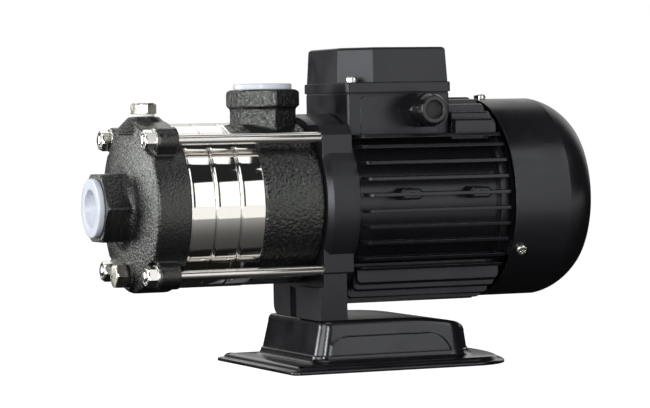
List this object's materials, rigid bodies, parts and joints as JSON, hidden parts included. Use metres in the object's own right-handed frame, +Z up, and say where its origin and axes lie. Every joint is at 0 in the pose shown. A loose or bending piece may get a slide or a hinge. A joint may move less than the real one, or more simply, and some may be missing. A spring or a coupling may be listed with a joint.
{
  "type": "horizontal multistage pump",
  "caption": "Close-coupled horizontal multistage centrifugal pump with finned motor, terminal box, threaded end suction, top discharge and a cast foot on a base plate.",
  "frame": {"origin": "middle of the base's four bolt holes, on the plane of the base's underside", "axes": "+X along the shaft from the suction port towards the motor fan, +Y away from the cable gland's side, +Z up"},
  "size_m": [0.3533, 0.15, 0.221],
  "materials": {
    "cast_iron_black": "black paint over rough sand-cast skin",
    "stainless_polished": "mirror polished",
    "stainless": "pressed and turned",
    "plated_steel": "bright nickel plate",
    "plug_brass": "nickel plate",
    "washer_white": "plain",
    "washer_dark": "plain",
    "aluminium_black": "satin black paint",
    "steel_black": "satin black paint",
    "base_black": "gloss black paint",
    "box_black": "satin moulded",
    "gland_black": "gloss moulded",
    "cap_white": "smooth moulded",
    "rubber_black": "plain",
    "seal_ceramic": "lapped",
    "bearing_steel": "ground",
    "core_steel": "laminated",
    "winding_copper": "varnished wire",
    "board_brown": "moulded",
    "stud_brass": "turned",
    "capacitor_grey": "plain"
  },
  "bodies": {
    "pump_body": {"base_plate": "base_black", "foot_screws": "plated_steel", "motor_bracket": "aluminium_black", "discharge_casing": "cast_iron_black", "suction_cover": "cast_iron_black", "tie_rods": "stainless", "tie_rod_nuts": "plated_steel", "tie_rod_washers": "plated_steel", "stage_casing_1": "stainless_polished", "stage_casing_2": "stainless_polished", "stage_casing_3": "stainless_polished", "diffuser_1": "stainless", "diffuser_2": "stainless", "diffuser_3": "stainless", "casing_seal_rings": "rubber_black", "seal_seat": "seal_ceramic", "front_bearing_outer": "bearing_steel", "rear_bearing_outer": "bearing_steel", "motor_housing": "aluminium_black", "stator_core": "core_steel", "stator_windings": "winding_copper", "rear_endshield": "aluminium_black", "fan_cover": "steel_black", "fan_cover_screws": "plated_steel", "terminal_box": "box_black", "terminal_block": "board_brown", "terminal_studs": "stud_brass", "run_capacitor": "capacitor_grey", "gland_body": "gland_black", "gland_nut": "gland_black", "gland_seal": "rubber_black"},
    "rotor": {"shaft": "stainless", "rotor_core": "core_steel", "impeller_1": "stainless", "impeller_2": "stainless", "impeller_3": "stainless", "impeller_spacers": "stainless", "impeller_nut": "stainless", "seal_head": "stainless", "front_bearing_inner": "bearing_steel", "rear_bearing_inner": "bearing_steel", "cooling_fan": "box_black", "water_slinger": "rubber_black"},
    "vent_plug": {"vent_plug": "plug_brass", "vent_washer": "washer_white"},
    "drain_plug": {"drain_plug": "plug_brass", "drain_washer": "washer_dark"},
    "suction_cap": {"suction_cap": "cap_white"},
    "discharge_cap": {"discharge_cap": "cap_white"},
    "terminal_lid": {"terminal_lid": "box_black", "lid_screws": "plated_steel", "lid_gasket": "rubber_black"}
  },
  "joints": [
    {"name": "rotor_spin", "type": "hinge", "parent": "pump_body", "child": "rotor", "pos_m": [0.028, 0, 0.114], "axis": [1, 0, 0], "continuous": true},
    {"name": "vent_plug_out", "type": "slide", "parent": "pump_body", "child": "vent_plug", "axis": [0, 0, 1], "range_m": [0, 0.035]},
    {"name": "drain_plug_out", "type": "slide", "parent": "pump_body", "child": "drain_plug", "axis": [-1, 0, 0], "range_m": [0, 0.035]},
    {"name": "suction_cap_out", "type": "slide", "parent": "pump_body", "child": "suction_cap", "axis": [-1, 0, 0], "range_m": [0, 0.06]},
    {"name": "discharge_cap_out", "type": "slide", "parent": "pump_body", "child": "discharge_cap", "axis": [0, 0, 1], "range_m": [0, 0.06]},
    {"name": "terminal_lid_lift", "type": "slide", "parent": "pump_body", "child": "terminal_lid", "axis": [0, 0, 1], "range_m": [0, 0.07]}
  ]
}
